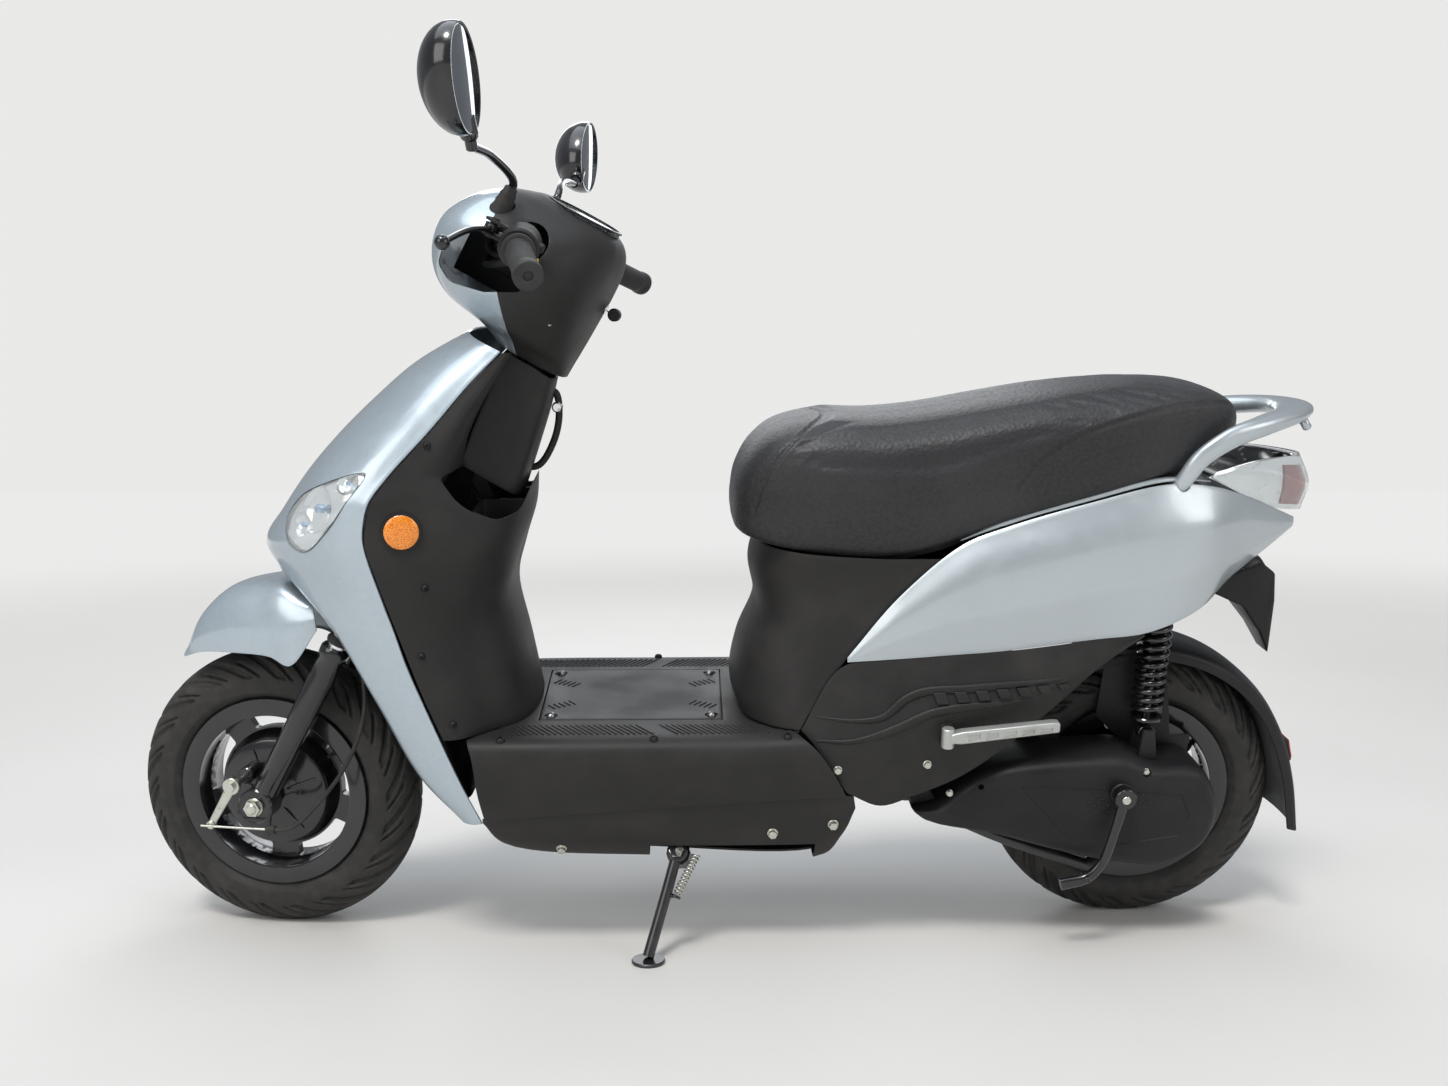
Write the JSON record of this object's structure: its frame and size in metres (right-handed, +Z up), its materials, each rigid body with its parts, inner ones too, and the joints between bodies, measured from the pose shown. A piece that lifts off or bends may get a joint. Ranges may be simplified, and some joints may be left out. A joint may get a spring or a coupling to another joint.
{
  "type": "seated electric scooter",
  "caption": "Step-through seated scooter on its side stand, with sprung fork, swinging rear drive, opening seat, turning bars and folding stands and pegs.",
  "frame": {"origin": "centre line of the rear tyre where it meets the ground, with the scooter leaning 10 degrees on its side stand", "axes": "+X from the front wheel to the tail, +Y to the rider's right, +Z up, -Z out of the rear tyre's ground flat"},
  "size_m": [1.6998, 0.7213, 1.2],
  "materials": {
    "gloss_cast": "gloss",
    "dark_cast": "satin",
    "tyre_rubber": "matte",
    "soft_rubber": "matte",
    "zinc_steel": "satin",
    "chromed_steel": "polished",
    "black_steel": "gloss",
    "pearl_panel": "gloss",
    "silver_panel": "gloss",
    "gloss_plastic": "gloss",
    "grained_plastic": "matte",
    "dark_plastic": "matte",
    "button_plastic": "satin",
    "battery_case": "satin",
    "clear_lens": "polished",
    "dash_lens": "gloss",
    "tail_lens": "gloss",
    "seat_vinyl": "satin",
    "peg_alloy": "satin"
  },
  "bodies": {
    "chassis": {"main_frame": "black_steel", "front_cowl": "pearl_panel", "headlight_left": "clear_lens", "headlight_right": "clear_lens", "inner_leg_shield": "grained_plastic", "column_cover": "grained_plastic", "front_arch_liner": "dark_plastic", "floorboard": "grained_plastic", "battery_lid": "grained_plastic", "belly_pan": "grained_plastic", "seat_front_panel": "grained_plastic", "side_cover_left": "silver_panel", "side_cover_right": "silver_panel", "lower_trim_left": "grained_plastic", "lower_trim_right": "grained_plastic", "tail_light": "tail_lens", "grab_rail": "pearl_panel", "plate_bracket": "dark_plastic", "battery_pack": "battery_case", "storage_bucket": "dark_plastic"},
    "steering": {"fork_tree": "chromed_steel", "front_fender": "pearl_panel", "handlebar": "black_steel", "grip_left": "soft_rubber", "switch_pod_left": "grained_plastic", "switch_pod_right": "grained_plastic", "handlebar_front_cover": "pearl_panel", "handlebar_rear_cover": "grained_plastic", "dash_panel": "dash_lens"},
    "fork_lowers": {"fork_slider_left": "gloss_cast", "fork_slider_right": "gloss_cast", "front_axle": "zinc_steel", "front_brake_plate": "gloss_cast", "front_brake_cable": "soft_rubber"},
    "front_wheel": {"front_rim": "gloss_cast", "front_tyre": "tyre_rubber"},
    "brake_arm": {"front_brake_arm": "zinc_steel"},
    "throttle": {"throttle_grip": "soft_rubber"},
    "left_lever": {"brake_lever_left": "gloss_cast"},
    "right_lever": {"brake_lever_right": "gloss_cast"},
    "left_mirror": {"mirror_head_left": "gloss_plastic"},
    "right_mirror": {"mirror_head_right": "gloss_plastic"},
    "horn": {"horn_button": "button_plastic"},
    "indicator": {"indicator_button": "button_plastic"},
    "key": {"ignition_key": "chromed_steel"},
    "swing_unit": {"drive_case": "dark_cast", "rear_hugger": "dark_plastic"},
    "rear_wheel": {"rear_rim": "gloss_cast", "rear_tyre": "tyre_rubber"},
    "kick": {"kick_lever": "black_steel"},
    "main_stand": {"centre_stand": "black_steel"},
    "shock_upper": {"shock_body": "black_steel", "shock_spring": "black_steel"},
    "shock_lower": {"shock_rod": "black_steel"},
    "seat": {"seat_cushion": "seat_vinyl", "seat_base": "dark_plastic"},
    "prop_stand": {"side_stand": "black_steel", "side_stand_spring": "black_steel"},
    "left_peg": {"footpeg_left": "peg_alloy"},
    "right_peg": {"footpeg_right": "peg_alloy"}
  },
  "joints": [
    {"name": "steering_turn", "type": "hinge", "parent": "chassis", "child": "steering", "pos_m": [-0.99937, -0.09951, 0.60936], "axis": [0.4695, -0.1533, 0.8695], "range_deg": [-28, 48]},
    {"name": "fork_slide", "type": "slide", "parent": "steering", "child": "fork_lowers", "axis": [0.4695, -0.1533, 0.8695], "range_m": [0, 0.06], "stiffness_N_per_m": 12000, "springref_m": -0.06},
    {"name": "front_wheel_spin", "type": "hinge", "parent": "fork_lowers", "child": "front_wheel", "pos_m": [-1.24862, -0.02333, 0.20433], "axis": [0.1533, 0.984, 0.0907], "continuous": true},
    {"name": "front_brake_cam", "type": "hinge", "parent": "fork_lowers", "child": "brake_arm", "pos_m": [-1.27274, -0.0228, 0.2393], "axis": [0.1533, 0.984, 0.0907], "range_deg": [-20, 0]},
    {"name": "throttle_turn", "type": "hinge", "parent": "steering", "child": "throttle", "pos_m": [-0.79078, 0.04966, 0.9757], "axis": [0.4706, 0.8691, -0.1525], "range_deg": [0, 70], "stiffness_Nm_per_rad": 0.3, "springref_deg": -11.46},
    {"name": "left_lever_pull", "type": "hinge", "parent": "steering", "child": "left_lever", "pos_m": [-0.89011, -0.33461, 0.96847], "axis": [0.4695, -0.1533, 0.8695], "range_deg": [0, 18], "stiffness_Nm_per_rad": 1.5, "springref_deg": -11.46},
    {"name": "right_lever_pull", "type": "hinge", "parent": "steering", "child": "right_lever", "pos_m": [-0.8343, 0.02357, 1.0015], "axis": [-0.4695, 0.1533, -0.8695], "range_deg": [0, 18], "stiffness_Nm_per_rad": 1.5, "springref_deg": -11.46},
    {"name": "left_mirror_turn", "type": "hinge", "parent": "steering", "child": "left_mirror", "pos_m": [-0.90167, -0.41443, 1.04919], "axis": [-0.0759, -0.6001, 0.7963], "range_deg": [-20, 20]},
    {"name": "right_mirror_turn", "type": "hinge", "parent": "steering", "child": "right_mirror", "pos_m": [-0.82347, 0.08741, 1.09546], "axis": [0.1306, 0.7639, 0.632], "range_deg": [-20, 20]},
    {"name": "horn_press", "type": "slide", "parent": "steering", "child": "horn", "axis": [-0.8695, 0.0907, 0.4855], "range_m": [0, 0.003], "stiffness_N_per_m": 400, "springref_m": -0.002},
    {"name": "indicator_press", "type": "slide", "parent": "steering", "child": "indicator", "axis": [-0.8695, 0.0907, 0.4855], "range_m": [0, 0.003], "stiffness_N_per_m": 400, "springref_m": -0.002},
    {"name": "key_turn", "type": "hinge", "parent": "steering", "child": "key", "pos_m": [-0.76569, -0.125, 0.88766], "axis": [0.8695, -0.0907, -0.4855], "range_deg": [0, 60]},
    {"name": "rear_swing", "type": "hinge", "parent": "chassis", "child": "swing_unit", "pos_m": [-0.325, -0.03178, 0.22522], "axis": [0, -0.9848, -0.1736], "range_deg": [0, 10], "stiffness_Nm_per_rad": 1400, "springref_deg": -17.19},
    {"name": "rear_wheel_spin", "type": "hinge", "parent": "swing_unit", "child": "rear_wheel", "pos_m": [0, -0.02778, 0.20252], "axis": [0, 0.9848, 0.1736], "continuous": true},
    {"name": "kick_swing", "type": "hinge", "parent": "swing_unit", "child": "kick", "pos_m": [-0.055, -0.18957, 0.22177], "axis": [0, -0.9848, -0.1736], "range_deg": [0, 50], "stiffness_Nm_per_rad": 2, "springref_deg": -17.19},
    {"name": "main_stand_swing", "type": "hinge", "parent": "swing_unit", "child": "main_stand", "pos_m": [-0.262, -0.02275, 0.17401], "axis": [0, 0.9848, 0.1736], "range_deg": [0, 75], "stiffness_Nm_per_rad": 3, "springref_deg": -57.3},
    {"name": "shock_tilt", "type": "hinge", "parent": "chassis", "child": "shock_upper", "pos_m": [-0.006, -0.17308, 0.49681], "axis": [0, 0.9848, 0.1736], "range_deg": [0, 9]},
    {"name": "shock_stroke", "type": "slide", "parent": "shock_upper", "child": "shock_lower", "axis": [0.0252, -0.1736, 0.9845], "range_m": [0, 0.056], "deforming": ["shock_spring"]},
    {"name": "seat_lift", "type": "hinge", "parent": "chassis", "child": "seat", "pos_m": [-0.546, -0.09169, 0.56498], "axis": [0, -0.9848, -0.1736], "range_deg": [0, 70]},
    {"name": "side_stand_fold", "type": "hinge", "parent": "chassis", "child": "prop_stand", "pos_m": [-0.668, -0.14533, 0.13209], "axis": [-0.1102, -0.8815, 0.4591], "range_deg": [0, 100], "stiffness_Nm_per_rad": 1, "springref_deg": -28.65},
    {"name": "left_peg_fold", "type": "hinge", "parent": "chassis", "child": "left_peg", "pos_m": [-0.308, -0.23816, 0.31474], "axis": [0, 0.1736, -0.9848], "range_deg": [0, 80]},
    {"name": "right_peg_fold", "type": "hinge", "parent": "chassis", "child": "right_peg", "pos_m": [-0.308, 0.13154, 0.37993], "axis": [0, -0.1736, 0.9848], "range_deg": [0, 80]}
  ],
  "couplings": [
    {"joint": "front_brake_cam", "follows": "right_lever_pull", "ratio": -1},
    {"joint": "shock_tilt", "follows": "rear_swing", "ratio": 0.85},
    {"joint": "shock_stroke", "follows": "rear_swing", "m_per_rad": 0.296}
  ]
}
